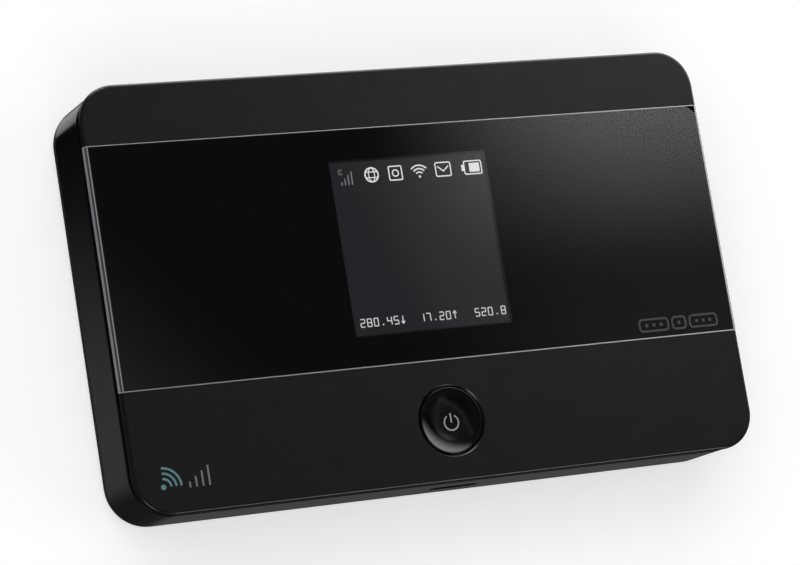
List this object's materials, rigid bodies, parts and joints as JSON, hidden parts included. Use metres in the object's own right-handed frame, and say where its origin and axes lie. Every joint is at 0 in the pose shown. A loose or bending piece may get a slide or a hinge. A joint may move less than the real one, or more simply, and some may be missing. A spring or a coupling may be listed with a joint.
{
  "type": "mobile hotspot",
  "caption": "Pocket mobile hotspot: slim rounded black case, square display under a glossy band, round power button, removable back cover and battery.",
  "frame": {"origin": "centre of the back cover's resting face", "axes": "+X along the case's long side, to the right when the display is read; +Y from the power button towards the display; +Z out of the display"},
  "size_m": [0.106, 0.0663, 0.016],
  "materials": {
    "front_plate": "fine matt texture, black",
    "side_frame": "satin black",
    "rear_cover": "fine matt texture, black",
    "clear_lens": "clear polished acrylic",
    "lens_print": "black back print under the lens",
    "adhesive": "black tape",
    "button": "satin black, dished",
    "silicone": "translucent silicone",
    "key": "satin black",
    "black_plastic": "moulded black",
    "beige_plastic": "moulded liquid-crystal polymer",
    "can_steel": "tinned sheet",
    "screw_steel": "zinc plated",
    "contact_gold": "gold plated",
    "antenna_copper": "plated copper",
    "board_laminate": "green solder mask",
    "chip_mould": "black mould compound",
    "ceramic_part": "sintered ceramic",
    "ferrite": "dark grey ferrite",
    "cell_can": "aluminium can in a dark wrap",
    "blank_label": "blank white label",
    "display_glass": "dark display glass",
    "display_film": "polariser, lit from behind",
    "light_guide": "white light guide",
    "polyimide": "amber film",
    "foam": "black foam",
    "thermal_putty": "grey thermal pad"
  },
  "bodies": {
    "housing": {"antenna_springs": "contact_gold", "baseband_chip": "chip_mould", "baseband_shield": "can_steel", "battery_connector": "black_plastic", "battery_contacts": "contact_gold", "bay_label": "blank_label", "board_capacitors": "ceramic_part", "board_screws": "screw_steel", "case_screws": "screw_steel", "clock_crystal": "can_steel", "display_lens": "clear_lens", "front_cover": "front_plate", "lcd_backlight": "light_guide", "lcd_connector": "beige_plastic", "lcd_driver": "chip_mould", "lcd_flex": "polyimide", "lcd_gasket": "foam", "lcd_glass": "display_glass", "lcd_polarizer": "display_film", "lcd_tray": "can_steel", "lens_adhesive": "adhesive", "lens_mask": "lens_print", "main_antenna": "antenna_copper", "main_antenna_carrier": "beige_plastic", "main_board": "board_laminate", "memory_chip": "chip_mould", "menu_switch": "black_plastic", "microsd_base": "black_plastic", "microsd_cage": "can_steel", "middle_frame": "side_frame", "power_chip": "chip_mould", "power_inductors": "ferrite", "power_shield": "can_steel", "power_switch": "can_steel", "radio_chip": "chip_mould", "radio_shield": "can_steel", "reset_switch": "black_plastic", "second_antenna": "antenna_copper", "second_antenna_carrier": "beige_plastic", "sim_base": "black_plastic", "sim_cage": "can_steel", "sim_contacts": "contact_gold", "thermal_pad": "thermal_putty", "usb_shell": "can_steel", "usb_tongue": "black_plastic", "wifi_antennas": "contact_gold"},
    "battery": {"battery_pack": "cell_can", "battery_label": "blank_label", "battery_terminals": "contact_gold"},
    "back_cover": {"back_cover": "rear_cover"},
    "power_button": {"power_button": "button", "power_pad": "silicone", "power_plunger": "black_plastic"},
    "menu_key": {"menu_key": "key", "menu_plunger": "beige_plastic"},
    "reset_key": {"reset_plunger": "beige_plastic"}
  },
  "joints": [
    {"name": "power_button_press", "type": "slide", "parent": "housing", "child": "power_button", "axis": [0, 0, -1], "range_m": [0, 0.0004], "stiffness_N_per_m": 2000},
    {"name": "menu_key_press", "type": "slide", "parent": "housing", "child": "menu_key", "axis": [0, -1, 0], "range_m": [0, 0.0003], "stiffness_N_per_m": 2000},
    {"name": "reset_key_press", "type": "slide", "parent": "housing", "child": "reset_key", "axis": [0, 0, 1], "range_m": [0, 0.00025], "stiffness_N_per_m": 2000},
    {"name": "battery_lift", "type": "slide", "parent": "housing", "child": "battery", "axis": [0, 0, -1], "range_m": [0, 0.03]},
    {"name": "back_cover_lift", "type": "slide", "parent": "battery", "child": "back_cover", "axis": [0, 0, -1], "range_m": [0, 0.03]}
  ]
}
